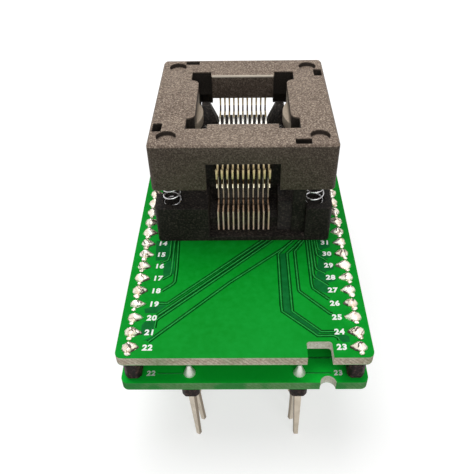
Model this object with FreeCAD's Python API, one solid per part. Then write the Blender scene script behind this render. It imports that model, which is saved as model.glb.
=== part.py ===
import FreeCAD, Part
import math
import os

# A programming adapter for a chip with gull-wing leads. An open-top socket stands on an upper board, pin strips
# carry that board over a lower one, and two rows of long pins under the lower board plug into a programmer.
# Millimetres, +Z up. The origin is the middle of the pin tips' plane, under the middle of the boards. The front
# is -Y. Around the socket, a place is given as (t, r): t along a side and r outwards from the socket's middle.

# Pin grid
pin_pitch = 2.54
pins_per_row = 22
dip_row_steps = 6

# Boards
board_thickness = 1.6
board_side_margin = 1.8
board_end_margin = 1.65
board_corner_radius = 1.0
upper_notch_inset = 4.34
upper_notch_width = 3.4
upper_notch_depth = 2.6
upper_notch_radius = 0.45
lower_notch_inset = 2.84
lower_notch_radius = 1.1

# Pin strips and their pins
strip_end_margin = 1.27
header_strip_width = 2.5
header_strip_height = 4.1
header_strip_chamfer = 0.4
header_pin_size = 0.64
header_pin_foot = 1.1
dip_strip_width = 2.5
dip_strip_height = 2.9
dip_strip_chamfer = 0.5
dip_pin_length = 11.9
dip_pin_width = 0.9
dip_pin_tip_width = 0.62
dip_pin_thickness = 0.5

# Solder joints, each a small cone over a pin's end
header_joint_radius = 0.95
header_joint_top_radius = 0.35
header_joint_height = 0.9
header_joint_sides = 6
dip_joint_radius = 0.9
dip_joint_top_radius = 0.2
dip_joint_height = 1.8
dip_joint_sides = 5

# Place of the socket, its rounded corners and the least room between it and a solder joint
socket_y = 7.9
socket_edge_radius = 0.7
socket_joint_gap = 0.3

# Nest for the chip, and the comb and posts that stand round it
nest_half = 5.15
nest_floor_height = 8.6
nest_lip = 0.03
nest_lead_in = 0.8
comb_floor_height = 6.0
comb_rise = 1.95
comb_setback = 0.1
comb_crest_lean = 0.5
comb_crest_start = 1.15
post_clearance = 0.05
post_width_x = 1.85
post_width_y = 2.25
post_knee_rise = 1.5
post_top_rise = 3.05
post_lead_in = 1.4

# Contacts, whose setbacks count outwards from the nest and whose rises count up from its floor
contact_pitch = 0.8
contacts_per_side = 11
contact_thickness = 0.3
contact_clearance = 0.03
contact_tip_setback = 0.2
contact_tip_rise = 0.3
contact_crest_setback = 1.15
contact_crest_rise = 1.8
contact_stem_setback = 2.25
contact_stem_width = 0.7
contact_neck_lean = 0.3
contact_neck_width = 0.7
contact_neck_drop = 0.4
contact_bar_length = 3.95
contact_bar_height = 0.8
contact_lever_foot_lean = 0.2
contact_lever_foot_rise = 0.3
contact_bend_height = 0.8
contact_lever_lean = 0.15
contact_lever_width = 0.45
contact_lever_rise = 3.5
tail_width = 0.45
tail_clearance = 0.05
tail_foot = 0.9

# Base
rim_height = 0.8
rim_reach = 1.8
tail_wall_height = 2.9
ledge_height = 6.5

# Springs
spring_inset = 2.6
spring_coil_radius = 1.3
spring_wire = 0.32
spring_turns = 4.25
spring_flat_turn = 0.4
spring_steps_per_turn = 8
spring_pocket_depth = 0.6
spring_pocket_clearance = 0.09

# Cover hooks of the base, the bays that they stand in and the slots that they run in
hook_spring_gap = 2.45
hook_width = 2.0
hook_thickness = 0.7
hook_barb = 0.45
hook_tip_height = 1.25
hook_tip_straight = 0.4
hook_tip_slant = 0.1
hook_side_clearance = 0.15
hook_clearance = 0.1
hook_catch_clearance = 0.05
hook_bay_margin = 1.25
hook_bay_clearance = 0.15
catch_height = 2.8

# Cover
cover_gap = 3.6
cover_height = 7.7
cover_wall = 1.0
cover_roof = 1.5
cover_top_chamfer = 0.3
window_margin = 0.05
window_height = 4.6
side_notch_depth = 1.22
end_notch_depth = 1.4
cam_clearance = 0.2
end_cam_setback = 0.15
side_cam_half_width = 6.1
side_cam_radius = 1.2
cam_depth = 4.1
cam_wall = 0.9
cam_wedge = 1.0
cam_lip_reach = 0.85
cam_lip_length = 6.6
cam_lip_height = 1.5
cam_lip_root = 0.3
recess_diameter = 2.9
recess_depth = 0.7
spring_block_rise = 0.8
spring_block_margin = 0.24

# How far joined blocks run into each other
overlap = 0.1

# Distances out from the socket's middle, each from the one inside it
sides = ("front", "right", "rear", "left")
contact_row_half = (contacts_per_side - 1) / 2 * contact_pitch
contact_tip_r = nest_half + contact_tip_setback
contact_crest_r = nest_half + contact_crest_setback
contact_stem_r = nest_half + contact_stem_setback
contact_neck_r = contact_stem_r - contact_neck_lean
comb_r = contact_stem_r + contact_stem_width - comb_setback
post_inner = contact_row_half + contact_thickness / 2 + post_clearance
post_outer_x = nest_half + post_width_x
post_outer_y = nest_half + post_width_y
tail_r = contact_stem_r + contact_bar_length
contact_lever_foot_r = tail_r - contact_lever_foot_lean
contact_lever_r = tail_r + contact_lever_lean
socket_half = tail_r + tail_width + rim_reach
spring_place = socket_half - spring_inset
hook_bay_wall = tail_r + tail_width
hook_bay_start = contact_row_half + contact_thickness / 2 + hook_bay_margin
hook_r = hook_bay_wall + hook_bay_clearance
hook_t = spring_place - hook_spring_gap
cover_inner = socket_half - cover_wall
window_half = hook_bay_start + window_margin
end_cam_half_width = hook_bay_start - end_cam_setback
cam_half_x = post_outer_x + cam_clearance
cam_half_y = post_outer_y + cam_clearance
opening_half_x = cam_half_x + side_notch_depth
opening_half_y = cam_half_y + end_notch_depth

# Widths of the boards, whose outer pin rows stand at the first whole pitch that clears the socket
header_row_steps = math.ceil(2 * (socket_half + header_joint_radius + socket_joint_gap) / pin_pitch)
header_row_gap = header_row_steps * pin_pitch
dip_row_gap = dip_row_steps * pin_pitch
row_length = (pins_per_row - 1) * pin_pitch
board_width = header_row_gap + 2 * board_side_margin
board_length = row_length + 2 * board_end_margin
upper_notch_x = header_row_gap / 2 - upper_notch_inset
lower_notch_x = header_row_gap / 2 - lower_notch_inset

# Levels, each from the one below it
dip_strip_bottom = dip_pin_length
lower_board_bottom = dip_strip_bottom + dip_strip_height
lower_board_top = lower_board_bottom + board_thickness
upper_board_bottom = lower_board_top + header_strip_height
board_top = upper_board_bottom + board_thickness
contact_bar_bottom = board_top + tail_wall_height
contact_bar_top = contact_bar_bottom + contact_bar_height
comb_floor = board_top + comb_floor_height
ledge_top = board_top + ledge_height
spring_foot = ledge_top - spring_pocket_depth
nest_floor = board_top + nest_floor_height
comb_top = nest_floor + comb_rise
post_knee = nest_floor + post_knee_rise
post_top = post_knee + post_top_rise
cover_base = ledge_top + cover_gap
spring_head = cover_base + spring_block_rise
catch_top = cover_base + catch_height
cover_top = cover_base + cover_height
roof_bottom = cover_top - cover_roof
cam_bottom = cover_top - cam_depth


def box(x0, x1, y0, y1, z0, z1):
    """A box between two corners."""
    return Part.makeBox(x1 - x0, y1 - y0, z1 - z0, FreeCAD.Vector(x0, y0, z0))


def solid_between(points, direction):
    """A closed outline pushed along a direction."""
    outline = Part.makePolygon(points + [points[0]])
    return Part.Face(outline).extrude(direction)


def front_profile(profile, t0, t1):
    """A (r, z) profile of the socket's front side, pushed from t0 to t1."""
    points = [FreeCAD.Vector(t0, socket_y - r, z) for r, z in profile]
    return solid_between(points, FreeCAD.Vector(t1 - t0, 0, 0))


def front_box(t0, t1, r0, r1, z0, z1):
    """A box on the socket's front side."""
    return box(t0, t1, socket_y - r1, socket_y - r0, z0, z1)


def on_side(shape, quarter_turns):
    """A copy of a front-side shape turned about the socket to another side."""
    turned = shape.copy()
    turned.rotate(FreeCAD.Vector(0, socket_y, 0), FreeCAD.Vector(0, 0, 1), 90 * quarter_turns)
    return turned


def on_all_sides(shape):
    """The four copies of a front-side shape."""
    return [on_side(shape, turn) for turn in range(len(sides))]


def square_block(half, z0, z1):
    """A square block about the socket's middle."""
    return box(-half, half, socket_y - half, socket_y + half, z0, z1)


def tapered_block(low, high):
    """A block with flat flanks between two like outlines."""
    faces = [Part.Face(Part.makePolygon(ring + [ring[0]])) for ring in (low, high)]
    for index in range(len(low)):
        after = (index + 1) % len(low)
        flank = [low[index], low[after], high[after], high[index], low[index]]
        faces.append(Part.Face(Part.makePolygon(flank)))
    return Part.makeSolid(Part.makeShell(faces))


def rectangle(half_x, half_y, z):
    """The corners of a rectangle about the socket's middle."""
    signs = ((-1, -1), (1, -1), (1, 1), (-1, 1))
    return [FreeCAD.Vector(x * half_x, socket_y + y * half_y, z) for x, y in signs]


def upright_edges(shape):
    """The edges that run straight up."""
    found = []
    for edge in shape.Edges:
        low, high = edge.BoundBox.ZMin, edge.BoundBox.ZMax
        if abs(edge.Length - (high - low)) < 1e-6:
            found.append(edge)
    return found


def level_edges(shape, z):
    """The edges that lie in a level."""
    return [e for e in shape.Edges if abs(e.BoundBox.ZMin - z) < 1e-6 and abs(e.BoundBox.ZMax - z) < 1e-6]


def pin_places():
    """The y places of one row of pins."""
    return [index * pin_pitch - row_length / 2 for index in range(pins_per_row)]


def square_pins(x, size_x, size_y, z0, z1):
    """A row of square posts, as pins or as the cutters of their holes."""
    return [box(x - size_x / 2, x + size_x / 2, y - size_y / 2, y + size_y / 2, z0, z1)
            for y in pin_places()]


def ring_points(x, y, radius, z, count):
    """Points spaced evenly on a level ring."""
    points = []
    for index in range(count):
        angle = 2 * math.pi * (index + 0.5) / count
        points.append(FreeCAD.Vector(x + radius * math.cos(angle), y + radius * math.sin(angle), z))
    return points


def board_plate(z0):
    """A bare board with rounded corners."""
    across, along = board_width / 2, board_length / 2
    plate = box(-across, across, -along, along, z0, z0 + board_thickness)
    return plate.makeFillet(board_corner_radius, upright_edges(plate))


def contact_profile():
    """A contact's outline in (r, z): tail, bar, stem, neck, lever, head and back down its inner side."""
    neck = nest_floor - contact_neck_drop
    lever_foot = nest_floor + contact_lever_foot_rise
    lever_tip = nest_floor + contact_lever_rise
    return [
        (tail_r, upper_board_bottom - tail_foot),
        (tail_r + tail_width, upper_board_bottom - tail_foot),
        (tail_r + tail_width, contact_bar_top),
        (contact_stem_r + contact_stem_width, contact_bar_top),
        (contact_neck_r, neck),
        (contact_lever_foot_r, lever_foot),
        (contact_lever_r, lever_tip),
        (contact_lever_r - contact_lever_width, lever_tip),
        (contact_lever_foot_r - contact_lever_width, lever_foot + contact_bend_height),
        (contact_crest_r, nest_floor + contact_crest_rise),
        (contact_tip_r, nest_floor + contact_tip_rise),
        (contact_neck_r - contact_neck_width, neck + contact_thickness),
        (contact_stem_r, contact_bar_bottom),
        (tail_r, contact_bar_bottom),
    ]


def contact_places():
    """The places of the contacts along a side."""
    return [index * contact_pitch - contact_row_half for index in range(contacts_per_side)]


def contact_row():
    """The contacts of the front side."""
    profile = contact_profile()
    half = contact_thickness / 2
    return [front_profile(profile, t - half, t + half) for t in contact_places()]


def tail_holes():
    """The holes of the front side's contact tails in the upper board."""
    half = contact_thickness / 2
    return [front_box(t - half, t + half, tail_r, tail_r + tail_width, upper_board_bottom, board_top)
            for t in contact_places()]


def make_upper_board():
    """The board under the socket, with its square notch and its holes."""
    board = board_plate(upper_board_bottom)
    front = -board_length / 2
    notch = box(upper_notch_x - upper_notch_width / 2, upper_notch_x + upper_notch_width / 2,
                front - upper_notch_depth, front + upper_notch_depth, upper_board_bottom, board_top)
    notch = notch.makeFillet(upper_notch_radius, upright_edges(notch))
    cutters = [notch]
    for x in (-header_row_gap / 2, header_row_gap / 2):
        cutters += square_pins(x, header_pin_size, header_pin_size, upper_board_bottom, board_top)
    for hole in tail_holes():
        cutters += on_all_sides(hole)
    return board.cut(cutters)


def make_lower_board():
    """The board that carries the long pins, with its half-round notch."""
    board = board_plate(lower_board_bottom)
    notch = Part.makeCylinder(lower_notch_radius, board_thickness,
                              FreeCAD.Vector(lower_notch_x, -board_length / 2, lower_board_bottom))
    cutters = [notch]
    for x in (-header_row_gap / 2, header_row_gap / 2):
        cutters += square_pins(x, header_pin_size, header_pin_size, lower_board_bottom, lower_board_top)
    for x in (-dip_row_gap / 2, dip_row_gap / 2):
        cutters += square_pins(x, dip_pin_width, dip_pin_thickness, lower_board_bottom, lower_board_top)
    return board.cut(cutters)


def strip_body(x, width, chamfer, z0, z1):
    """A strip's moulded bar, with its long edges chamfered."""
    side, inset = width / 2, width / 2 - chamfer
    outline = [(-inset, z0), (inset, z0), (side, z0 + chamfer), (side, z1 - chamfer)]
    outline += [(inset, z1), (-inset, z1), (-side, z1 - chamfer), (-side, z0 + chamfer)]
    start = -row_length / 2 - strip_end_margin
    points = [FreeCAD.Vector(x + across, start, z) for across, z in outline]
    return solid_between(points, FreeCAD.Vector(0, row_length + 2 * strip_end_margin, 0))


def make_header_strip(x):
    """A black strip between the boards, with a seat for each pin."""
    body = strip_body(x, header_strip_width, header_strip_chamfer, lower_board_top, upper_board_bottom)
    return body.cut(square_pins(x, header_pin_size, header_pin_size, lower_board_top, upper_board_bottom))


def make_dip_strip(x):
    """A black strip under the lower board, with a seat for each pin."""
    body = strip_body(x, dip_strip_width, dip_strip_chamfer, dip_strip_bottom, lower_board_bottom)
    return body.cut(square_pins(x, dip_pin_width, dip_pin_thickness, dip_strip_bottom, lower_board_bottom))


def make_header_pins(x):
    """The square pins that join the two boards, from under the lower one to the upper one's top."""
    return square_pins(x, header_pin_size, header_pin_size, lower_board_bottom - header_pin_foot, board_top)


def make_dip_pins(x):
    """The long flat pins, which narrow below their strip."""
    shank, tip = dip_pin_width / 2, dip_pin_tip_width / 2
    outline = [(shank, lower_board_top), (shank, dip_strip_bottom), (tip, 0)]
    outline += [(-across, z) for across, z in reversed(outline)]
    pins = []
    for y in pin_places():
        points = [FreeCAD.Vector(x + across, y - dip_pin_thickness / 2, z) for across, z in outline]
        pins.append(solid_between(points, FreeCAD.Vector(0, dip_pin_thickness, 0)))
    return pins


def make_joints(x, z, radius, top_radius, height, count):
    """The solder joints on a board over one row of pins, as faceted cones."""
    return [tapered_block(ring_points(x, y, radius, z, count), ring_points(x, y, top_radius, z + height, count))
            for y in pin_places()]


def base_corner():
    """The block under the front right corner of the cover, rounded on its outer edge."""
    corner = front_box(hook_bay_start, socket_half, hook_bay_start, socket_half, board_top, ledge_top)
    outer = [edge for edge in upright_edges(corner)
             if edge.BoundBox.XMin > hook_bay_start and edge.BoundBox.YMax < socket_y - hook_bay_start]
    return corner.makeFillet(socket_edge_radius, outer)


def corner_post():
    """A guide post at the nest's front right corner, with flanks that lean back to its top."""
    lean = [(post_inner, comb_floor), (post_inner, post_knee), (post_inner + post_lead_in, post_top)]
    across = lean + [(post_outer_x, post_top), (post_outer_x, comb_floor)]
    outwards = lean + [(post_outer_y, post_top), (post_outer_y, comb_floor)]
    start = socket_y - post_outer_y
    first = solid_between([FreeCAD.Vector(t, start, z) for t, z in across],
                          FreeCAD.Vector(0, post_outer_y - post_inner, 0))
    second = front_profile(outwards, post_inner, post_outer_x)
    return first.common(second)


def comb_ribs():
    """The front side's ribs, which stand between the contacts."""
    outline = [
        (nest_half, contact_bar_bottom),
        (comb_r, contact_bar_bottom),
        (comb_r - comb_crest_lean, comb_top),
        (nest_half + comb_crest_start, comb_top),
        (nest_half, nest_floor + nest_lip),
    ]
    half = (contact_pitch - contact_thickness) / 2 - contact_clearance
    between = [t + contact_pitch / 2 for t in contact_places()[:-1]]
    return [front_profile(outline, t - half, t + half) for t in between]


def hook():
    """A hook of the front side, which reaches up into the cover's slot."""
    foot = board_top + rim_height
    catch = catch_top + hook_catch_clearance
    outer = hook_r + hook_thickness
    outline = [
        (hook_r, foot),
        (outer, foot),
        (outer, catch),
        (outer + hook_barb, catch),
        (outer + hook_barb, catch + hook_tip_straight),
        (outer - hook_tip_slant, catch + hook_tip_height),
        (hook_r, catch + hook_tip_height),
    ]
    return front_profile(outline, hook_t - hook_width / 2, hook_t + hook_width / 2)


def make_base():
    """The black moulding: rim, corner blocks, comb ribs, nest, corner posts and hooks."""
    rim = square_block(socket_half, board_top, board_top + rim_height)
    rim = rim.makeFillet(socket_edge_radius, upright_edges(rim))
    parts = [
        square_block(tail_r, board_top, contact_bar_bottom),
        square_block(contact_neck_r - contact_neck_width, board_top, comb_floor),
        square_block(nest_half, board_top, nest_floor),
    ]
    parts += on_all_sides(base_corner())
    for rib in comb_ribs():
        parts += on_all_sides(rib)
    front_post = corner_post()
    middle = FreeCAD.Vector(0, socket_y, 0)
    front_pair = [front_post, front_post.mirror(middle, FreeCAD.Vector(1, 0, 0))]
    parts += front_pair + [post.mirror(middle, FreeCAD.Vector(0, 1, 0)) for post in front_pair]
    base = rim.fuse(parts)

    bay_end = hook_t + hook_width / 2 + hook_clearance
    bay = front_box(hook_bay_start, bay_end, hook_bay_wall, socket_half, board_top + rim_height, ledge_top)
    tail_half = contact_row_half + contact_thickness / 2 + tail_clearance
    tail_slot = front_box(-tail_half, tail_half, tail_r, tail_r + tail_width + tail_clearance,
                          board_top, board_top + rim_height)
    pocket_radius = spring_coil_radius + spring_wire / 2 + spring_pocket_clearance
    pocket = Part.makeCylinder(pocket_radius, spring_pocket_depth,
                               FreeCAD.Vector(spring_place, socket_y - spring_place, spring_foot))
    cutters = on_all_sides(bay) + on_all_sides(tail_slot) + on_all_sides(pocket)
    cutters.append(square_block(nest_half, nest_floor, post_knee))
    nest_top = nest_half + nest_lead_in
    cutters.append(tapered_block(rectangle(nest_half, nest_half, post_knee),
                                 rectangle(nest_top, nest_top, post_top)))
    return base.cut(cutters).fuse(on_all_sides(hook())).removeSplitter()


def opening_outline():
    """The cover's opening in plan: a square with a cam face standing into it on each side."""
    quarter = [
        (cam_half_x, 0),
        (cam_half_x, side_cam_half_width),
        (opening_half_x, side_cam_half_width),
        (opening_half_x, opening_half_y),
        (end_cam_half_width, opening_half_y),
        (end_cam_half_width, cam_half_y),
    ]
    mirrored = [(-x, y) for x, y in reversed(quarter)]
    rear = quarter + mirrored
    return rear + [(-x, -y) for x, y in rear[1:-1]]


def make_opening():
    """The cutter of the cover's opening, with the side cams' corners rounded."""
    points = [FreeCAD.Vector(x, socket_y + y, cover_base) for x, y in opening_outline()]
    cutter = solid_between(points, FreeCAD.Vector(0, 0, cover_height))
    rounded = [edge for edge in upright_edges(cutter)
               if abs(abs(edge.CenterOfMass.x) - cam_half_x) < 1e-6
               and abs(abs(edge.CenterOfMass.y - socket_y) - side_cam_half_width) < 1e-6]
    return cutter.makeFillet(side_cam_radius, rounded)


def cam_frame():
    """The walls round the opening, which thicken upwards into wedges that spread the contacts' levers."""
    wide = cam_wall + cam_wedge
    return tapered_block(rectangle(opening_half_x + cam_wall, opening_half_y + cam_wall, cam_bottom),
                         rectangle(opening_half_x + wide, opening_half_y + wide, roof_bottom))


def cam_lip(side):
    """The half-moon ledge at the foot of a side cam."""
    radius = ((cam_lip_length / 2) ** 2 + cam_lip_reach ** 2) / (2 * cam_lip_reach)
    centre = side * (cam_half_x - cam_lip_reach + radius)
    disc = Part.makeCylinder(radius, cam_lip_height, FreeCAD.Vector(centre, socket_y, cam_bottom))
    ends = (side * (cam_half_x - cam_lip_reach), side * (cam_half_x + cam_lip_root))
    bound = box(min(ends), max(ends), socket_y - cam_lip_length, socket_y + cam_lip_length,
                cam_bottom, cam_bottom + cam_lip_height)
    return disc.common(bound)


def make_cover():
    """The moulded cover: outer walls, roof, cam walls, spring blocks, windows and hook slots."""
    shell = square_block(socket_half, cover_base, cover_top)
    shell = shell.makeFillet(socket_edge_radius, upright_edges(shell))
    shell = shell.makeChamfer(cover_top_chamfer, level_edges(shell, cover_top))
    shell = shell.cut(square_block(cover_inner, cover_base, roof_bottom))
    block_inner = spring_place - spring_coil_radius - spring_wire / 2 - spring_block_margin
    block_outer = cover_inner + overlap
    block = front_box(block_inner, block_outer, block_inner, block_outer, spring_head, roof_bottom + overlap)
    shell = shell.fuse([cam_frame()] + on_all_sides(block))

    cutters = [make_opening()]
    window = front_box(-window_half, window_half, cover_inner, socket_half,
                       cover_base, cover_base + window_height)
    slot_start = hook_t - hook_width / 2 - hook_side_clearance
    slot_end = hook_t + hook_width / 2 + hook_side_clearance
    slot_inner = hook_r - hook_clearance
    slot_outer = hook_r + hook_thickness + hook_clearance
    leg_way = front_box(slot_start, slot_end, slot_inner, slot_outer, cover_base, cover_top)
    barb_way = front_box(slot_start, slot_end, slot_inner, slot_outer + hook_barb, catch_top, cover_top)
    recess = Part.makeCylinder(recess_diameter / 2, recess_depth,
                               FreeCAD.Vector(spring_place, socket_y - spring_place, cover_top - recess_depth))
    for cutter in (window, leg_way.fuse(barb_way), recess):
        cutters += on_all_sides(cutter)
    cover = shell.cut(cutters)
    return cover.fuse([cam_lip(1), cam_lip(-1)]).removeSplitter()


def spring_section(turn):
    """The corners of the wire's square section at a place along the coil, whose ends lie flat."""
    climb = (turn - spring_flat_turn) / (spring_turns - 2 * spring_flat_turn)
    rise = spring_head - spring_foot - spring_wire
    middle = spring_foot + spring_wire / 2 + rise * min(max(climb, 0), 1)
    angle = 2 * math.pi * turn
    half = spring_wire / 2
    corners = []
    for outwards, upwards in ((-half, -half), (half, -half), (half, half), (-half, half)):
        radius = spring_coil_radius + outwards
        corners.append(FreeCAD.Vector(spring_place + radius * math.cos(angle),
                                      socket_y - spring_place + radius * math.sin(angle), middle + upwards))
    return corners


def make_spring():
    """The front right spring, from the base's pocket up to the cover's block, with flat triangular flanks."""
    steps = round(spring_turns * spring_steps_per_turn)
    sections = [spring_section(spring_turns * step / steps) for step in range(steps + 1)]
    outlines = [sections[0], sections[-1]]
    for low, high in zip(sections, sections[1:]):
        for index in range(len(low)):
            after = (index + 1) % len(low)
            outlines.append([low[index], low[after], high[after]])
            outlines.append([low[index], high[after], high[index]])
    faces = [Part.Face(Part.makePolygon(outline + [outline[0]])) for outline in outlines]
    return Part.makeSolid(Part.makeShell(faces))


def save(name, solids):
    """One piece, or one group of like pieces, in its own file."""
    shape = solids[0] if len(solids) == 1 else Part.makeCompound(solids)
    shape.exportStep(os.path.join("parts", name + ".step"))


def main():
    os.makedirs("parts", exist_ok=True)
    save("socket_cover", [make_cover()])
    save("socket_base", [make_base()])
    save("upper_board", [make_upper_board()])
    save("lower_board", [make_lower_board()])

    spring = make_spring()
    corners = ("front_right", "rear_right", "rear_left", "front_left")
    for turn, corner in enumerate(corners):
        save("spring_" + corner, [on_side(spring, turn)])

    contacts = contact_row()
    for turn, side in enumerate(sides):
        save("contacts_" + side, [on_side(contact, turn) for contact in contacts])

    for hand, name in ((-1, "left"), (1, "right")):
        outer_x = hand * header_row_gap / 2
        inner_x = hand * dip_row_gap / 2
        save("header_strip_" + name, [make_header_strip(outer_x)])
        save("header_pins_" + name, make_header_pins(outer_x))
        save("header_joints_" + name, make_joints(outer_x, board_top, header_joint_radius,
                                                  header_joint_top_radius, header_joint_height,
                                                  header_joint_sides))
        save("dip_strip_" + name, [make_dip_strip(inner_x)])
        save("dip_pins_" + name, make_dip_pins(inner_x))
        save("dip_joints_" + name, make_joints(inner_x, lower_board_top, dip_joint_radius,
                                               dip_joint_top_radius, dip_joint_height, dip_joint_sides))


main()
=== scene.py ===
import math
import random

import bmesh
import bpy
from mathutils import Matrix, Vector


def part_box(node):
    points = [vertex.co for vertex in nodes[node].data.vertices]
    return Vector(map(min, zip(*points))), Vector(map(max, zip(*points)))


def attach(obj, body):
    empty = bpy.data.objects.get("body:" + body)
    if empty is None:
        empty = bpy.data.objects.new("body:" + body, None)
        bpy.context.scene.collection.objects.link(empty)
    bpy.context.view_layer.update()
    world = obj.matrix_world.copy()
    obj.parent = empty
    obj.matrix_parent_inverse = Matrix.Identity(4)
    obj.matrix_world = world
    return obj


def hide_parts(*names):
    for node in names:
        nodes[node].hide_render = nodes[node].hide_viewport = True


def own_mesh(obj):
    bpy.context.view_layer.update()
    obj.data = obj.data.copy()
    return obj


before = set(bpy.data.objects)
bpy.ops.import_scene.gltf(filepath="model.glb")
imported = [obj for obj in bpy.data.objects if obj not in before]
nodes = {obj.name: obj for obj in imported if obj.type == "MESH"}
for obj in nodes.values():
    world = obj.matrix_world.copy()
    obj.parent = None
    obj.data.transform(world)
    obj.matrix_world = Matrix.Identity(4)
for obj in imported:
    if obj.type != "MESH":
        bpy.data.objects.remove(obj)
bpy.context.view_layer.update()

mm = 0.001


# Camera. It stands in front of the adapter, above the board's front edge, and looks down on the socket.
camera_data = bpy.data.cameras.new("view")
camera_data.lens = 42.98
camera_data.sensor_width = 36.0
camera_data.clip_start = 0.001
camera = bpy.data.objects.new("view", camera_data)
bpy.context.scene.collection.objects.link(camera)
camera_pitch, camera_yaw, camera_roll = (math.radians(a) for a in (42.108, 0.926, -0.965))
camera_turn = (Matrix.Rotation(camera_yaw, 4, "Z") @ Matrix.Rotation(math.pi / 2 - camera_pitch, 4, "X")
               @ Matrix.Rotation(camera_roll, 4, "Z"))
camera.matrix_world = Matrix.Translation((0.029 * mm, -72.392 * mm, 83.15 * mm)) @ camera_turn
bpy.context.scene.camera = camera
bpy.context.scene.view_settings.view_transform = "Standard"


# Floor and light. A white table that keeps the adapter's shadow, a broad soft lamp above and behind, a weaker
# one at the front, and a pale room all round for the metal to mirror.
def set_inputs(node, inputs):
    """Links a node's inputs to sockets, or sets them to values."""
    for name, value in inputs.items():
        if isinstance(value, bpy.types.NodeSocket):
            node.id_data.links.new(value, node.inputs[name])
        else:
            node.inputs[name].default_value = value


def new_material(name, colour, roughness, metallic=0.0):
    """A material with its Principled shader, whose constants sit on the shader itself."""
    material = bpy.data.materials.new(name)
    material.use_nodes = True
    shader = material.node_tree.nodes["Principled BSDF"]
    set_inputs(shader, {"Base Color": (*colour, 1.0), "Roughness": roughness, "Metallic": metallic})
    return material, material.node_tree, shader


def add_node(tree, kind, inputs, **settings):
    """A shader node with its settings and its inputs."""
    node = tree.nodes.new("ShaderNode" + kind)
    for name, value in settings.items():
        setattr(node, name, value)
    set_inputs(node, inputs)
    return node


def add_math(operation, *values):
    """A math node's result, in the tree of the first value that is a socket."""
    tree = next(value.id_data for value in values if isinstance(value, bpy.types.NodeSocket))
    return add_node(tree, "Math", dict(enumerate(values)), operation=operation).outputs[0]


def add_range(value, low, high, to_low=0.0, to_high=1.0):
    """A value taken from one range to another and held inside it."""
    inputs = {"Value": value, "From Min": low, "From Max": high, "To Min": to_low, "To Max": to_high}
    return add_node(value.id_data, "MapRange", inputs).outputs["Result"]


def add_seen(tree):
    """1 for what the camera sees, straight or mirrored, and 0 for what only lights the scene."""
    path = add_node(tree, "LightPath", {})
    return add_math("MAXIMUM", path.outputs["Is Camera Ray"], path.outputs["Is Glossy Ray"])


def lamp(name, place, target, width, height, watts):
    """A rectangular soft lamp that faces a point."""
    data = bpy.data.lights.new(name, "AREA")
    data.shape = "RECTANGLE"
    data.size, data.size_y = width, height
    data.energy = watts
    made = bpy.data.objects.new(name, data)
    made.location = place
    aim = Vector(target) - Vector(place)
    made.rotation_euler = aim.to_track_quat("-Z", "Y").to_euler()
    bpy.context.scene.collection.objects.link(made)


bpy.ops.object.select_all(action="DESELECT")
bpy.ops.mesh.primitive_plane_add(size=4.0, location=(0, 0, 0))
floor = bpy.context.object
floor.name = "floor"
floor_material, tree, shader = new_material("table_white", (0.46, 0.46, 0.46), 0.9)
shadow_reach, white_reach = 0.06, 0.30
spot = add_node(tree, "TexCoord", {}).outputs["Object"]
away = add_node(tree, "VectorMath", {0: spot}, operation="LENGTH").outputs["Value"]
glow = add_math("MULTIPLY", add_seen(tree), add_range(away, shadow_reach, white_reach, 0.64, 0.96))
set_inputs(shader, {"Specular IOR Level": 0.0, "Emission Color": (1, 1, 1, 1), "Emission Strength": glow})
floor.data.materials.append(floor_material)

lamp("key_lamp", (-0.08, 0.10, 0.62), (0, 0, 0.03), 0.45, 0.35, 2.9)
lamp("front_lamp", (0.08, -0.45, 0.40), (0, 0, 0.02), 0.5, 0.3, 1.15)

world = bpy.data.worlds.new("studio")
bpy.context.scene.world = world
world.use_nodes = True
sky = world.node_tree
room = sky.nodes["Background"]
set_inputs(room, {"Color": (1.0, 0.99, 0.975, 1.0), "Strength": 0.15})
backdrop = add_node(sky, "Background", {"Color": (1, 1, 1, 1), "Strength": 1.0})
either = add_node(sky, "MixShader", {0: add_seen(sky), 1: room.outputs[0], 2: backdrop.outputs[0]})
set_inputs(sky.nodes["World Output"], {"Surface": either.outputs[0]})


# Lower board. Glass fibre laminate, 1.6 mm thick, with green solder mask on both faces and bare sawn edges.
# It carries the long pins below and the outer pin rows above.
def new_group(name, inputs, outputs):
    """An empty shader node group, with inputs by their values and the output Color as its only colour."""
    group = bpy.data.node_groups.new(name, "ShaderNodeTree")
    for socket, value in inputs.items():
        kind = "NodeSocketVector" if isinstance(value, tuple) else "NodeSocketFloat"
        group.interface.new_socket(socket, in_out="INPUT", socket_type=kind).default_value = value
    for socket in outputs:
        kind = "NodeSocketColor" if socket == "Color" else "NodeSocketFloat"
        group.interface.new_socket(socket, in_out="OUTPUT", socket_type=kind)
    return group, group.nodes.new("NodeGroupInput"), group.nodes.new("NodeGroupOutput")


def add_mix(amount, *colours):
    """A mix of two colours, each a socket or a value, by an amount that is a socket."""
    factor, first_colour, second_colour, result = 0, 6, 7, 2
    inputs = {factor: amount}
    for slot, colour in zip((first_colour, second_colour), colours):
        inputs[slot] = colour if isinstance(colour, bpy.types.NodeSocket) else (*colour, 1.0)
    return add_node(amount.id_data, "Mix", inputs, data_type="RGBA").outputs[result]


def add_noise(place, scale, detail=3.0, roughness=0.5):
    """A noise pattern at a place."""
    inputs = {"Vector": place, "Scale": scale, "Detail": detail, "Roughness": roughness}
    return add_node(place.id_data, "TexNoise", inputs).outputs["Fac"]


def add_bump(height, strength, distance):
    """A bump from a height, as a normal."""
    inputs = {"Height": height, "Strength": strength, "Distance": distance}
    return add_node(height.id_data, "Bump", inputs).outputs["Normal"]


def product(*values):
    """Values multiplied together, such as masks that must all hold."""
    found = values[0]
    for value in values[1:]:
        found = add_math("MULTIPLY", found, value)
    return found


def apart(first, second):
    """How far one value is from another."""
    return add_math("ABSOLUTE", add_math("SUBTRACT", first, second))


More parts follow.
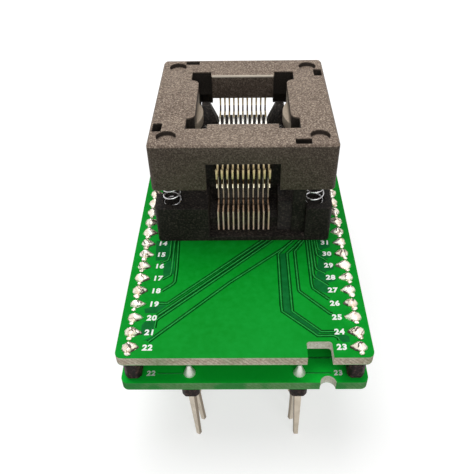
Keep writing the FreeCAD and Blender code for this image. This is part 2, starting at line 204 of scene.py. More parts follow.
def object_place(tree):
    """A point's place in its piece's own coordinates."""
    return add_node(tree, "TexCoord", {}).outputs["Object"]


def axes_of(vector):
    """A vector's three axes."""
    return add_node(vector.id_data, "SeparateXYZ", {0: vector}).outputs


def add_group(tree, group, inputs):
    """The outputs of a node group that is placed in a tree."""
    return add_node(tree, "Group", inputs, node_tree=group).outputs


def make_mask_group():
    """Mask on laminate: green faces with a faint mottle, painted lighter by the Painted Light share as
    painted light, and fibre edges between two thin green lines.
    """
    group, given, out = new_group("board_faces", {"Low": 0.0, "High": 1.0, "Stain": 0.0, "Lift": 0.0},
                                  ("Color", "Edge", "Height"))
    mask_thickness, skin_thickness = 0.04 * mm, 0.24 * mm
    place = object_place(group)
    z = axes_of(place)["Z"]
    depth = add_math("MINIMUM", add_math("SUBTRACT", z, given.outputs["Low"]),
                     add_math("SUBTRACT", given.outputs["High"], z))
    edge = add_math("GREATER_THAN", depth, mask_thickness)

    mottle = add_noise(place, 900.0, 4.0, 0.6)
    cloud = add_noise(place, 60.0, 2.0)
    green = add_mix(add_range(cloud, 0.35, 0.65), (0.001, 0.250, 0.014), (0.003, 0.300, 0.024))
    green = add_mix(add_range(mottle, 0.35, 0.75, 0.0, 0.35), green, (0.010, 0.40, 0.050))
    # Painted light: the green is made lighter by the Painted Light share.
    green = add_mix(given.outputs["Lift"], green, (0.008, 0.78, 0.06))

    weave = add_node(group, "TexWave", {"Vector": place, "Scale": 900.0, "Distortion": 3.0, "Detail": 2.0},
                     bands_direction="DIAGONAL").outputs["Fac"]
    sawn = add_noise(place, 2600.0, 4.0, 0.7)
    fibre = add_mix(add_range(sawn, 0.3, 0.7), (0.52, 0.38, 0.28), (1.0, 0.90, 0.76))
    fibre = add_mix(add_range(weave, 0.55, 1.0, 0.0, 0.40), fibre, (0.26, 0.26, 0.14))
    skin = product(add_math("LESS_THAN", depth, skin_thickness), add_range(sawn, 0.4, 0.6, 0.3, 0.95))
    fibre = add_mix(skin, fibre, (0.74, 0.86, 0.60))
    patches = add_range(add_noise(place, 140.0, 2.0), 0.45, 0.7, 0.0, 0.4)
    stain = add_math("MINIMUM", add_math("ADD", patches, given.outputs["Stain"]), 0.94)
    fibre = add_mix(stain, fibre, (0.018, 0.31, 0.055))
    height = add_math("ADD", product(sawn, edge), product(mottle, 0.10))
    set_inputs(out, {"Color": add_mix(edge, green, fibre), "Edge": edge, "Height": height})
    return group


mask_group = make_mask_group()


def board_material(name, low, high, stain, notch_x, notch_half):
    """A board between its two levels, with a share of green on its sawn edges, part of that share painting
    its green faces lighter as painted light, and a paler routed notch.
    """
    material, tree, shader = new_material(name, (0.005, 0.28, 0.04), 0.4)
    faces = add_group(tree, mask_group, {"Low": low, "High": high, "Stain": stain, "Lift": stain * 0.6})
    behind_front, notch_limit = -28.25 * mm, -20.0 * mm
    place = object_place(tree)
    axes = axes_of(place)
    routed = product(add_math("LESS_THAN", apart(axes["X"], notch_x), notch_half),
                     add_math("GREATER_THAN", axes["Y"], behind_front),
                     add_math("LESS_THAN", axes["Y"], notch_limit), faces["Edge"])
    dust = add_range(add_noise(place, 1900.0, 4.0, 0.7), 0.35, 0.65)
    pale = add_mix(dust, (0.62, 0.62, 0.48), (0.95, 0.93, 0.84))
    set_inputs(shader, {
        "Base Color": add_mix(product(routed, 0.95), faces["Color"], pale),
        "Roughness": add_range(faces["Edge"], 0.0, 1.0, 0.34, 0.85),
        "Specular IOR Level": 0.03,
        "Normal": add_bump(faces["Height"], 0.35, 0.06 * mm),
    })
    return material


def dress(obj, material):
    """One material in every slot of a piece."""
    if not obj.data.materials:
        obj.data.materials.append(material)
    for index in range(len(obj.data.materials)):
        obj.data.materials[index] = material


def only(obj):
    """One object selected alone, and active."""
    bpy.ops.object.select_all(action="DESELECT")
    bpy.context.view_layer.objects.active = obj
    obj.select_set(True)


def start_edit(obj):
    """Only this piece selected, and in edit mode."""
    only(obj)
    bpy.ops.object.mode_set(mode="EDIT")


def pick(obj, kind, wanted):
    """In edit mode, selects the vertices, edges or faces that a test wants and nothing else."""
    bpy.ops.mesh.select_mode(type={"verts": "VERT", "edges": "EDGE", "faces": "FACE"}[kind])
    bpy.ops.mesh.select_all(action="DESELECT")
    mesh = bmesh.from_edit_mesh(obj.data)
    for item in getattr(mesh, kind):
        if wanted(item):
            item.select_set(True)
    mesh.select_flush(True)
    bmesh.update_edit_mesh(obj.data)


def leave_edit():
    bpy.ops.object.mode_set(mode="OBJECT")


def copy_of(obj, name, move=(0, 0, 0), turn=0.0):
    """A copy with its own mesh, turned about Z and moved in the mesh itself."""
    made = obj.copy()
    made.data = obj.data.copy()
    made.name = name
    made.data.name = name
    place = Matrix.Translation(move) @ Matrix.Rotation(turn, 4, "Z")
    made.data.transform(place)
    bpy.context.scene.collection.objects.link(made)
    return made


def merged_copy(node, name):
    """A copy of a CAD piece with its loose triangles merged into whole faces."""
    made = copy_of(nodes[node], name)
    made.parent = None
    for key in list(made.keys()):
        del made[key]
    start_edit(made)
    bpy.ops.mesh.select_all(action="SELECT")
    bpy.ops.mesh.remove_doubles(threshold=0.002 * mm)
    bpy.ops.mesh.dissolve_limited(angle_limit=math.radians(1.0))
    leave_edit()
    return made


def routed_board(node, notch_low, notch_high, shift):
    """A board whose notch is moved along the front edge to its true place."""
    board = merged_copy(node, node + "_routed")
    start_edit(board)
    pick(board, "verts", lambda v: v.co.y < -25.6 * mm and notch_low < v.co.x < notch_high)
    bpy.ops.transform.translate(value=(shift, 0, 0))
    leave_edit()
    return board


def fit_board(board, node, material):
    """A finished board takes its CAD node's place."""
    dress(board, material)
    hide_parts(node)
    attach(board, "frame")


lower_low, lower_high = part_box("lower_board")
notch_shift = -0.9 * mm
# The lower board's share of 0.8 also paints its green lighter, as painted light between the two boards.
fit_board(routed_board("lower_board", 11.2 * mm, 13.6 * mm, notch_shift), "lower_board",
          board_material("lower_board_mask", lower_low.z, lower_high.z, 0.8, 11.5 * mm, 1.4 * mm))


# Strips under the lower board. Black moulded bars, one notch to each side between two pins, that hold the
# long pins square to the board.
pin_pitch = 2.54 * mm
pins_per_row = 22
dip_row_x = 7.62 * mm
row_start = -(pins_per_row - 1) / 2 * pin_pitch
seat_chamfer, seat_rounding = 0.5 * mm, 0.12 * mm
hands = ((-1, "left"), (1, "right"))
hair = 1e-7


def start_cube(name, low, high):
    """A cube between two corners, in edit mode and all selected."""
    bpy.ops.object.select_all(action="DESELECT")
    bpy.ops.mesh.primitive_cube_add(size=1.0, location=(0, 0, 0))
    made = bpy.context.object
    made.name = name
    made.data.name = name
    size = Vector(high) - Vector(low)
    middle = (Vector(high) + Vector(low)) / 2
    bpy.ops.object.mode_set(mode="EDIT")
    bpy.ops.transform.resize(value=tuple(size))
    bpy.ops.transform.translate(value=tuple(middle))
    return made


def finish_modifiers(obj):
    """Applies every modifier of a piece."""
    only(obj)
    for modifier in list(obj.modifiers):
        bpy.ops.object.modifier_apply(modifier=modifier.name)


def join(name, pieces):
    """Several pieces made one."""
    bpy.ops.object.select_all(action="DESELECT")
    for piece in pieces:
        piece.select_set(True)
    bpy.context.view_layer.objects.active = pieces[0]
    bpy.ops.object.join()
    pieces[0].name = name
    pieces[0].data.name = name
    return pieces[0]


def upright(edge):
    """An edge that runs along Z."""
    a, b = (vertex.co for vertex in edge.verts)
    return abs(a.x - b.x) < hair and abs(a.y - b.y) < hair


def seat_rim(edge):
    """A level edge of a seat, apart from those across its two open ends."""
    a, b = (vertex.co for vertex in edge.verts)
    across_end = abs(a.y - b.y) < hair and abs(abs(a.y - row_start) - pin_pitch / 2) < hair
    return abs(a.z - b.z) < hair and not across_end


def notched_strip(name, x, width, z0, z1):
    """One moulded seat for one pin, repeated along the row."""
    seat = start_cube(name, (x - width / 2, row_start - pin_pitch / 2, z0),
                      (x + width / 2, row_start + pin_pitch / 2, z1))
    pick(seat, "edges", upright)
    bpy.ops.mesh.bevel(offset=seat_chamfer, segments=1, affect="EDGES")
    pick(seat, "edges", seat_rim)
    bpy.ops.mesh.bevel(offset=seat_rounding, segments=2, affect="EDGES")
    pick(seat, "faces", lambda f: abs(f.normal.y) > 0.99)
    bpy.ops.mesh.delete(type="FACE")
    leave_edit()
    row = seat.modifiers.new("row", "ARRAY")
    row.count = pins_per_row
    row.use_relative_offset = False
    row.use_constant_offset = True
    row.constant_offset_displace = (0, pin_pitch, 0)
    row.use_merge_vertices = True
    row.merge_threshold = 1e-6
    finish_modifiers(seat)
    start_edit(seat)
    bpy.ops.mesh.select_mode(type="EDGE")
    bpy.ops.mesh.select_all(action="DESELECT")
    bpy.ops.mesh.select_non_manifold()
    bpy.ops.mesh.edge_face_add()
    bpy.ops.mesh.select_all(action="SELECT")
    bpy.ops.mesh.normals_make_consistent(inside=False)
    leave_edit()
    return seat


def make_grain_group():
    """Spark-eroded or sanded mould grain: its height, pale flecks, dark pits and a slow change of tone."""
    group, given, out = new_group("mould_grain", {"Scale": 3000.0, "Cloud Scale": 150.0},
                                  ("Height", "Fleck", "Pit", "Tone"))
    place = object_place(group)
    fine = add_noise(place, given.outputs["Scale"], 5.0, 0.65)
    coarse = add_noise(place, product(given.outputs["Scale"], 0.37), 3.0, 0.5)
    cloud = add_noise(place, given.outputs["Cloud Scale"], 3.0, 0.55)
    set_inputs(out, {
        "Height": add_math("ADD", fine, product(coarse, 0.5)),
        "Fleck": add_range(fine, 0.50, 0.72),
        "Pit": add_range(fine, 0.47, 0.32),
        "Tone": add_range(cloud, 0.35, 0.65),
    })
    return group


grain_group = make_grain_group()


def scaled(colour, share):
    """A colour made darker."""
    return tuple(channel * share for channel in colour)


def plastic_material(name, dark, pale, fleck, grain, cloud, roughness, bump, fleck_share, specular=0.22,
                     walls=1.0):
    """A moulded plastic with grain, flecks and a slow change of tone, and plainer upright walls, darkened by
    the share walls as painted shade.
    """
    material, tree, shader = new_material(name, dark, roughness)
    mould = add_group(tree, grain_group, {"Scale": grain, "Cloud Scale": cloud})
    pits = product(mould["Pit"], fleck_share)
    flecks = product(mould["Fleck"], fleck_share)
    shaded_wall_and_top = []
    # The first look, for upright walls, is the top's plastic darkened by the share walls: painted shade.
    for share, pit_share, amount in ((walls, 0.3, product(flecks, 0.75)), (1.0, 0.25, flecks)):
        tone = add_mix(mould["Tone"], scaled(dark, share), scaled(pale, share))
        tone = add_mix(pits, tone, scaled(dark, share * pit_share))
        shaded_wall_and_top.append(add_mix(amount, tone, scaled(fleck, share)))
    facing = axes_of(add_node(tree, "TexCoord", {}).outputs["Normal"])
    set_inputs(shader, {
        "Base Color": add_mix(add_range(facing["Z"], 0.3, 0.8), *shaded_wall_and_top),
        "Roughness": add_range(mould["Height"], 0.4, 1.1, roughness - 0.08, roughness + 0.1),
        "Specular IOR Level": specular,
        "Normal": add_bump(mould["Height"], bump, 0.05 * mm),
    })
    return material


strip_plastic = plastic_material(
    "strip_black", (0.008, 0.005, 0.005), (0.024, 0.014, 0.013), (0.26, 0.15, 0.13),
    grain=1900.0, cloud=500.0, roughness=0.45, bump=0.6, fleck_share=0.7, specular=0.08)
strip_low, strip_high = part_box("dip_strip_left")
for hand, side in hands:
    strip = notched_strip("dip_strip_notched_" + side, hand * dip_row_x, 2.5 * mm, strip_low.z, strip_high.z)
    dress(strip, strip_plastic)
    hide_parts("dip_strip_" + side)
    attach(strip, "frame")


# Long pins. Cut from flat tinned brass strip, narrower towards their tips, which are snipped at a slant. They
# are pressed into the strips and soldered in the lower board.
pin_top = lower_high.z
pin_shoulder = strip_low.z
pin_half_width, pin_half_thickness = 0.57 * mm, 0.34 * mm
taper_top, tip_slant = 1.3 * mm, 0.25 * mm


def add_bevel(obj, width, segments, angle):
    """Bevels a piece's edges that are sharper than an angle in degrees."""
    edge = obj.modifiers.new("edge", "BEVEL")
    edge.width = width
    edge.segments = segments
    edge.limit_method = "ANGLE"
    edge.angle_limit = math.radians(angle)
    finish_modifiers(obj)


def cut_level(height):
    """Cuts the whole of a piece in edit mode along one level."""
    bpy.ops.mesh.select_all(action="SELECT")
    bpy.ops.mesh.bisect(plane_co=(0, 0, height), plane_no=(0, 0, 1))


def draw_in(across, along=1):
    """Scales what is picked towards or away from the Z axis."""
    bpy.ops.transform.resize(value=(across, along, 1), center_override=(0, 0, 0))


def long_pin(name):
    """A pin whose shank narrows to a slanted tip, with its edges broken."""
    pin = start_cube(name, (-pin_half_width, -pin_half_thickness, 0),
                     (pin_half_width, pin_half_thickness, pin_top))
    for height in (pin_shoulder, taper_top):
        cut_level(height)
    pick(pin, "verts", lambda v: v.co.z < 2 * mm)
    draw_in(0.62, 0.85)
    pick(pin, "verts", lambda v: v.co.z < 0.1 * mm and v.co.x > 0)
    bpy.ops.transform.translate(value=(0, 0, tip_slant))
    leave_edit()
    add_bevel(pin, 0.04 * mm, 1, 40)
    return pin


def make_scuff_group():
    """Plate that has been handled: faint streaks along the piece and dull patches."""
    group, given, out = new_group("plate_scuff", {"Scale": 700.0, "Stretch": (1.0, 1.0, 0.12)},
                                  ("Streak", "Patch"))
    place = object_place(group)
    along = add_node(group, "VectorMath", {0: place, 1: given.outputs["Stretch"]}, operation="MULTIPLY")
    streak = add_noise(along.outputs[0], given.outputs["Scale"], 4.0, 0.6)
    patch = add_noise(place, product(given.outputs["Scale"], 0.5), 3.0, 0.5)
    set_inputs(out, {"Streak": add_range(streak, 0.35, 0.7), "Patch": add_range(patch, 0.4, 0.65)})
    return group


scuff_group = make_scuff_group()


def metal_material(name, bright, dull, roughness, scale, stretch, metallic=0.9):
    """A plated metal whose colour and gloss change in streaks and patches."""
    material, tree, shader = new_material(name, bright, roughness, metallic)
    scuff = add_group(tree, scuff_group, {"Scale": scale, "Stretch": stretch})
    set_inputs(shader, {
        "Base Color": add_mix(scuff["Patch"], bright, dull),
        "Roughness": add_range(scuff["Streak"], 0.0, 1.0, roughness - 0.08, roughness + 0.14),
        "Normal": add_bump(scuff["Streak"], 0.15, 0.02 * mm),
    })
    return material


def add_coats(shader, *coats):
    """Lays colours over a shader's own, each where its mask holds."""
    found = shader.inputs["Base Color"].links[0].from_socket
    for mask, colour in coats:
        found = add_mix(mask, found, colour)
    set_inputs(shader, {"Base Color": found})


def add_step(value, start, end):
    """0 up to the first size in mm and 1 from the second, or down to it where the first is larger."""
    return add_range(value, start * mm, end * mm)


def darken_inward(material, colour):
    """Faces of a row that look towards the middle of the adapter, painted darker than the outer ones as a
    painted reflection of the shade under the board.
    """
    tree = material.node_tree
    facing = axes_of(add_node(tree, "TexCoord", {}).outputs["Normal"])
    outward = product(axes_of(object_place(tree))["X"], facing["X"])
    add_coats(tree.nodes["Principled BSDF"], (add_step(outward, -1.5, -3.5), colour))


tin = metal_material("pin_tin", (0.68, 0.59, 0.48), (0.56, 0.48, 0.38), 0.3, 900.0, (1.0, 1.0, 0.1), 0.8)
# Painted shade: the inward faces of the tinned pins are coloured dark brown.
darken_inward(tin, (0.26, 0.20, 0.14))

# Twist and inward lean in degrees of the pins that stand out of true, counted from the front.
bent = {2: (-6.0, -0.6), 4: (5.0, 0.8), 7: (-8.0, 0.5), 12: (7.0, -0.7)}
turned = {"left": {0: (-36.0, 2.0), 1: (-30.0, 5.0), **bent},
          "right": {0: (-14.0, -1.8), 1: (-30.0, 1.3), **bent}}
for hand, side in hands:
    pins = []
    model = long_pin("long_pin")
    half_turn = math.pi if hand > 0 else 0.0
    for index in range(pins_per_row):
        twist, lean = (math.radians(angle) for angle in turned[side].get(index, (0.0, 0.0)))
        made = copy_of(model, "long_pin_%s_%d" % (side, index))
        turn = Matrix.Rotation(hand * lean, 4, "Y") @ Matrix.Rotation(half_turn - hand * twist, 4, "Z")
        place = Matrix.Translation((hand * dip_row_x, row_start + index * pin_pitch, pin_shoulder))
        made.data.transform(place @ turn @ Matrix.Translation((0, 0, -pin_shoulder)))
        pins.append(made)
    bpy.data.objects.remove(model)
    row = join("dip_pins_snipped_" + side, pins)
    dress(row, tin)
    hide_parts("dip_pins_" + side)
    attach(row, "frame")


# Solder of the long pins on the lower board. Smooth cones of bright solder drawn up round each pin's end to a
# blunt tip.
def solder_cone(name, foot, waist, top, height):
    """A fillet of solder: wide foot, waist and blunt tip, turned about its pin."""
    bpy.ops.object.select_all(action="DESELECT")
    bpy.ops.mesh.primitive_cone_add(vertices=16, radius1=foot, radius2=top, depth=height,
                                    location=(0, 0, 0), end_fill_type="NGON")
    cone = bpy.context.object
    cone.name = name
    bpy.ops.object.mode_set(mode="EDIT")
    bpy.ops.mesh.select_all(action="SELECT")
    bpy.ops.transform.translate(value=(0, 0, height / 2))
    for level, radius in ((0.1, foot * 0.93), (0.4, waist), (0.75, (waist + top) * 0.48)):
        cut_level(level * height)
        pick(cone, "verts", lambda v: abs(v.co.z - level * height) < hair)
        straight = foot + (top - foot) * level
        draw_in(radius / straight, radius / straight)
    pick(cone, "faces", lambda f: f.normal.z > 0.9)
    bpy.ops.mesh.bevel(offset=top * 0.5, segments=2, affect="EDGES")
    leave_edit()
    bpy.ops.object.shade_smooth_by_angle(angle=math.radians(60))
    return cone


def solder_material(name, bright, dull):
    """Solder with a satin skin, duller patches and a slight dimpling."""
    material, tree, shader = new_material(name, bright, 0.3, 0.4)
    place = object_place(tree)
    dimple = add_noise(place, 1500.0, 3.0, 0.6)
    patch = add_noise(place, 700.0, 3.0, 0.6)
    set_inputs(shader, {
        "Base Color": add_mix(add_range(patch, 0.42, 0.66), bright, dull),
        "Roughness": add_range(dimple, 0.3, 0.7, 0.22, 0.5),
        "Normal": add_bump(dimple, 0.35, 0.08 * mm),
    })
    return material


def solder_row(name, joint, x, z, turn):
    """Copies of one joint along a row of pins, each turned further than the one before it."""
    joints = [copy_of(joint, "joint_%d" % index, (x, row_start + index * pin_pitch, z), turn * index)
              for index in range(pins_per_row)]
    bpy.data.objects.remove(joint)
    return join(name, joints)


cone_solder = solder_material("cone_solder", (1.0, 0.98, 0.93), (0.90, 0.86, 0.80))
for hand, side in hands:
    cone = solder_cone("cone", 0.86 * mm, 0.60 * mm, 0.24 * mm, 1.75 * mm)
    row = solder_row("dip_joints_drawn_" + side, cone, hand * dip_row_x, lower_high.z, 1.7)
    dress(row, cone_solder)
    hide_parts("dip_joints_" + side)
    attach(row, "frame")


# Square tinned pins of the outer rows. They join the two boards, and small cones of solder hold their feet
# under the lower one.
header_row_x = 15.24 * mm
for hand, side in hands:
    dress(nodes["header_pins_" + side], tin)
    foot = solder_cone("foot_cone", 0.85 * mm, 0.55 * mm, 0.34 * mm, 0.95 * mm)
    foot.data.transform(Matrix.Rotation(math.pi, 4, "X"))
    row = solder_row("header_feet_" + side, foot, hand * header_row_x, lower_low.z, 1.1)
    dress(row, cone_solder)
    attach(row, "frame")


# Strips between the boards. The same black mouldings as below, but taller, with a notch between every two
# pins. The square pins run through them, and they hold the two boards apart.
header_low, header_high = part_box("header_strip_left")
for hand, side in hands:
    strip = notched_strip("header_strip_notched_" + side, hand * header_row_x, 2.3 * mm, header_low.z,
                          header_high.z)
    dress(strip, strip_plastic)
    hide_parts("header_strip_" + side)
    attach(strip, "frame")


# Upper board. The same laminate, with copper under its mask: a flooded plane, and traces that run from the
# numbered pins to the socket, each inside a narrow gap in the copper where the laminate shows darker.
upper_low, upper_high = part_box("upper_board")
board_top = upper_high.z
fit_board(routed_board("upper_board", 9.1 * mm, 12.7 * mm, notch_shift), "upper_board",
          board_material("upper_board_mask", upper_low.z, upper_high.z, 0.0, 10.0 * mm, 1.8 * mm))


def draw_line(curve, points):
    """A straight-sided line through points, in a curve."""
    spline = curve.splines.new("POLY")
    spline.points.add(len(points) - 1)
    for made, point in zip(spline.points, points):
        made.co = (*point, 1)
    return spline


def to_mesh(name, data, place):
    """A curve or a text made a mesh, and then moved to its place."""
    made = bpy.data.objects.new(name, data)
    bpy.context.scene.collection.objects.link(made)
    only(made)
    bpy.ops.object.convert(target="MESH")
    made = bpy.context.object
    made.data.transform(place)
    return made


def rod(name, points, radius, resolution, place):
    """A line through points with a section round it, closed at its ends."""
    curve = bpy.data.curves.new(name, "CURVE")
    curve.dimensions = "3D"
    curve.bevel_depth = radius
    curve.bevel_resolution = resolution
    curve.use_fill_caps = True
    draw_line(curve, points)
    return to_mesh(name, curve, place)


def on_board(points):
    """Places in the board's plane, given in mm."""
    return [(x * mm, y * mm, 0) for x, y in points]


def ribbon(name, points, width, lift, thickness):
    """A flat ribbon along points in the board's plane, as copper or a gap in it under the mask."""
    flat = Matrix.Translation((0, 0, lift)) @ Matrix.Diagonal((1, 1, thickness / width, 1))
    return rod(name, on_board(points), width / 2, 0, flat)


def add_layer(name, pieces, material):
    """Flat pieces on a board made one and fixed to it."""
    made = join(name, pieces)
    dress(made, material)
    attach(made, "frame")


def add_ribbons(name, routes, width, lift, thickness, material):
    """Ribbons along several routes, as one layer."""
    ribbons = [ribbon("%s_%d" % (name, index), route, width, lift, thickness)
               for index, route in enumerate(routes)]
    add_layer(name, ribbons, material)


trace_routes = [
    [(-12.78, -10.71), (-11.69, -10.09), (-11.49, -8.89), (-11.58, -5.7)],
    [(-12.2, -14.15), (-11.06, -13.3), (-10.95, -12.53), (-10.98, -5.7)],
    [(-12.0, -16.5), (-10.47, -15.11), (-10.22, -14.61), (-10.18, -12.01), (-10.4, -5.7)],
    [(-12.17, -18.85), (-10.9, -18.87), (-2.11, -10.51), (2.94, -5.7)],
    [(-12.14, -21.13), (-2.1, -11.42), (3.75, -5.7)],
    [(-12.3, -23.34), (-12.23, -22.03), (-11.93, -21.66), (-2.09, -12.2), (4.6, -5.7)],
    [(-12.88, -25.68), (-11.57, -24.36), (-2.05, -14.83), (6.35, -7.45), (7.9, -5.7)],
    [(12.73, -25.53), (12.61, -25.08), (12.11, -24.72), (9.9, -24.75), (9.35, -24.16), (5.37, -20.45),
     (5.31, -19.27), (5.37, -8.85), (6.75, -6.99), (7.9, -5.7)],
    [(12.44, -24.05), (10.47, -24.08), (6.77, -20.46), (6.75, -18.94), (6.72, -8.66), (8.11, -7.0),
     (9.06, -5.7)],
    [(12.31, -21.0), (11.94, -20.82), (8.07, -16.69), (7.97, -16.31), (7.94, -8.26), (8.5, -7.42),
     (9.6, -5.7)],
    [(12.18, -18.27), (10.11, -16.15), (9.97, -15.43), (10.02, -5.7)],
    [(12.37, -15.6), (10.52, -13.87), (10.39, -13.21), (10.45, -5.7)],
    [(12.16, -13.12), (11.02, -12.25), (10.88, -11.67), (10.84, -5.7)],
    [(12.74, -10.41), (11.47, -9.19), (11.34, -8.69), (11.24, -5.7)],
    [(12.15, -8.18), (11.74, -7.86), (11.66, -7.45), (11.63, -5.7)],
]


def mask_material(name, dark, pale, roughness):
    """Solder mask over one layer, with the same faint mottle as the board."""
    material, tree, shader = new_material(name, dark, roughness)
    mottle = add_noise(object_place(tree), 900.0, 4.0, 0.6)
    set_inputs(shader, {
        "Base Color": add_mix(add_range(mottle, 0.35, 0.75), dark, pale),
        "Specular IOR Level": 0.03,
        "Normal": add_bump(mottle, 0.1, 0.05 * mm),
    })
    return material


gap_mask = mask_material("gap_mask", (0.001, 0.105, 0.011), (0.002, 0.145, 0.016), 0.4)
trace_mask = mask_material("trace_mask", (0.020, 0.34, 0.055), (0.040, 0.46, 0.09), 0.36)
bare_mask = mask_material("bare_mask", (0.003, 0.125, 0.022), (0.006, 0.18, 0.036), 0.4)


def window(name, points, lift):
    """A flat patch inside an outline, where the copper plane stops and the laminate shows under the mask."""
    curve = bpy.data.curves.new(name, "CURVE")
    curve.dimensions = "2D"
    curve.fill_mode = "BOTH"
    curve.extrude = 0.003 * mm
    draw_line(curve, on_board(points)).use_cyclic_u = True
    return to_mesh(name, curve, Matrix.Translation((0, 0, lift)))


bare_outlines = [
    [(-13.95, -5.7), (-11.6, -5.7), (-11.51, -8.61), (-12.0, -10.0), (-13.6, -10.2), (-13.8, -7.74)],
    [(-12.21, -11.36), (-11.65, -10.28), (-11.0, -10.28), (-10.9, -12.96), (-11.77, -13.7), (-12.12, -13.21)],
    [(-11.3, -5.7), (-11.0, -5.7), (-10.5, -13.0), (-10.85, -13.3)],
    [(-14.1, -19.9), (-12.14, -19.25), (-10.9, -19.2), (-12.3, -20.7), (-13.89, -20.7)],
    [(-14.1, -22.86), (-13.73, -22.2), (-12.4, -22.1), (-12.35, -23.85), (-12.67, -24.4), (-14.0, -24.5)],
    [(-13.6, -25.5), (-12.6, -24.9), (-12.1, -24.6), (-12.8, -25.4)],
    [(5.67, -8.85), (6.45, -8.66), (6.5, -18.94), (6.55, -20.5), (10.3, -24.2), (9.95, -24.5), (9.45, -23.96),
     (5.62, -20.35), (5.58, -19.27)],
    [(10.35, -14.5), (10.75, -14.1), (12.2, -15.5), (12.8, -16.4), (12.4, -17.2), (11.4, -16.9),
     (10.3, -15.95)],
    [(12.3, -24.85), (13.5, -24.5), (14.1, -24.9), (14.1, -25.8), (13.2, -25.9), (12.85, -25.5)],
    [(10.7, -13.75), (12.2, -15.1), (13.6, -14.6), (13.6, -13.6), (12.2, -13.45), (11.1, -12.5)],
    [(11.1, -12.0), (12.2, -12.85), (13.6, -12.2), (13.6, -11.2), (12.5, -10.7), (11.55, -9.6)],
    [(11.6, -9.0), (12.5, -9.9), (13.6, -9.6), (13.6, -8.6), (12.2, -8.45), (11.8, -8.1)],
    [(11.8, -7.6), (12.2, -7.95), (13.6, -7.3), (13.6, -5.7), (11.85, -5.7)],
]
gap_thickness, trace_thickness, ink_lift = 0.016 * mm, 0.034 * mm, 0.002 * mm
add_layer("bare_windows", [window("bare_%d" % index, outline, board_top + ink_lift)
                           for index, outline in enumerate(bare_outlines)], bare_mask)
add_ribbons("trace_gaps", trace_routes, 0.60 * mm, board_top, gap_thickness, gap_mask)
add_ribbons("traces", trace_routes, 0.24 * mm, board_top, trace_thickness, trace_mask)


# Traces of the lower board, one from each outer pin straight in to the long pin of the same number. The front
# two end short of the numbers printed there and have no gap beside them.
trace_start, trace_end, short_end, trace_shift = 8.3, 14.2, 12.1, 0.1
straight = []
for hand in (-1, 1):
    for index in range(pins_per_row):
        y = row_start / mm + index * pin_pitch / mm - trace_shift
        straight.append([(hand * trace_start, y), (hand * (trace_end if index else short_end), y)])
full_length = [route for index, route in enumerate(straight) if index % pins_per_row]
add_ribbons("lower_trace_gaps", full_length, 0.32 * mm, lower_high.z, gap_thickness, gap_mask)
add_ribbons("lower_traces", straight, 0.22 * mm, lower_high.z, trace_thickness, trace_mask)


# Pin numbers. White ink, printed beside each pin of the outer rows that the socket leaves in sight, and a
# little worn.
ink, tree, shader = new_material("number_ink", (0.86, 0.88, 0.86), 0.6)
wear_and_painted_highlight = add_range(add_noise(object_place(tree), 1800.0, 3.0, 0.6), 0.55, 0.8)
set_inputs(shader, {"Base Color": add_mix(wear_and_painted_highlight, (0.88, 0.90, 0.88), (0.55, 0.75, 0.58))})


def number(pin, x, y, z, size):
    """A printed number, flat on the board and centred on its place."""
    name = "number_%d" % pin
    data = bpy.data.curves.new(name, "FONT")
    data.body = str(pin)
    data.size = size
    data.align_x = data.align_y = "CENTER"
    data.shear = 0.06
    data.space_character = 1.12
    data.offset = 0.045 * size
    data.extrude = 0.004 * mm
    data.resolution_u = 3
    return to_mesh(name, data, Matrix.Translation((x, y, z)) @ Matrix.Diagonal((1.02, 1, 1, 1)))


number_x, number_size = 12.874 * mm, 1.26 * mm
shown = [n for n in range(1, 2 * pins_per_row + 1) if n not in range(4, 14) and n not in range(32, 42)]
printed = []
for pin in shown:
    left = pin <= pins_per_row
    step = pins_per_row - pin if left else pin - pins_per_row - 1
    printed.append(number(pin, -number_x if left else number_x, row_start + step * pin_pitch,
                          board_top + ink_lift, number_size))
add_layer("pin_numbers", printed, ink)
add_layer("lower_numbers", [number(pin, x * mm, row_start - 0.1 * mm, lower_high.z + ink_lift, 1.1 * mm)
                            for pin, x in ((22, -13.0), (23, 13.0))], ink)
